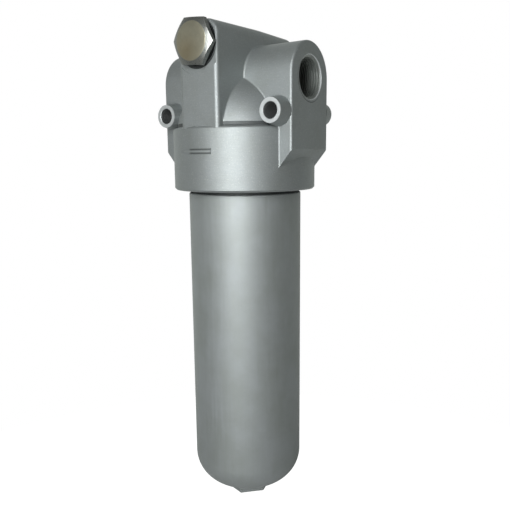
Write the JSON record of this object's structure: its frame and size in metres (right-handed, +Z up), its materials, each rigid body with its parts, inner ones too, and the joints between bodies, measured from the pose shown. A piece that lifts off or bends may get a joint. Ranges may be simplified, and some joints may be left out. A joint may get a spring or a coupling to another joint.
{
  "type": "hydraulic pressure filter",
  "caption": "High-pressure hydraulic line filter: cast head with threaded ports and bosses, screwed steel bowl, pleated element, bypass valve and plugged indicator port.",
  "frame": {"origin": "midway between the two mounting holes at the front, on the plane of their boss tips", "axes": "-Y out of the front bosses, square to their tips; +Z up along the bowl; +X out of the inlet port, so oil flows towards -X"},
  "size_m": [0.104, 0.1003, 0.3268],
  "materials": {
    "cast_head": "zinc-flaked grey cast surface, satin",
    "bowl_steel": "cold-drawn steel with a grey phosphated, satin surface",
    "plug_zinc": "zinc plated with a faint olive tint",
    "inner_steel": "turned steel",
    "spring_steel": "drawn spring wire",
    "tin_plate": "tin-plated sheet",
    "filter_media": "pleated glass-fibre sheet",
    "seal_rubber": "black nitrile rubber",
    "backup_plastic": "natural white fluoroplastic"
  },
  "bodies": {
    "head": {"filter_head": "cast_head", "spigot_bush": "inner_steel", "spigot_o_ring": "seal_rubber", "bypass_seat": "inner_steel", "bypass_cage": "inner_steel", "bypass_clip": "spring_steel", "bypass_spring": "spring_steel", "element_top_cap": "tin_plate", "element_o_ring": "seal_rubber", "element_bottom_cap": "tin_plate", "element_pleats": "filter_media", "element_core": "tin_plate", "element_sleeve": "tin_plate"},
    "valve": {"bypass_poppet": "inner_steel"},
    "bowl_seal": {"bowl_o_ring": "seal_rubber", "bowl_backup_ring": "backup_plastic"},
    "bowl": {"filter_bowl": "bowl_steel"},
    "plug_seal": {"plug_washer": "plug_zinc", "plug_seal_lip": "seal_rubber"},
    "plug": {"indicator_plug": "plug_zinc"}
  },
  "joints": [
    {"name": "bowl_slide", "type": "slide", "parent": "head", "child": "bowl_seal", "axis": [0, 0, -1], "range_m": [0, 0.018]},
    {"name": "bowl_turn", "type": "hinge", "parent": "bowl_seal", "child": "bowl", "pos_m": [0, 0.0315, 0], "axis": [0, 0, -1], "range_deg": [0, 3240]},
    {"name": "plug_slide", "type": "slide", "parent": "head", "child": "plug_seal", "axis": [0, -1, 0], "range_m": [0, 0.0105]},
    {"name": "plug_turn", "type": "hinge", "parent": "plug_seal", "child": "plug", "pos_m": [0, 0.0315, 0.041], "axis": [0, -1, 0], "range_deg": [0, 2520]},
    {"name": "bypass_lift", "type": "slide", "parent": "head", "child": "valve", "axis": [0, 0, -1], "range_m": [0, 0.004], "stiffness_N_per_m": 6300, "springref_m": -0.00005, "deforming": ["bypass_spring"]}
  ],
  "couplings": [
    {"joint": "bowl_turn", "follows": "bowl_slide", "rad_per_m": 3141.6},
    {"joint": "plug_turn", "follows": "plug_slide", "rad_per_m": 4188.8}
  ]
}
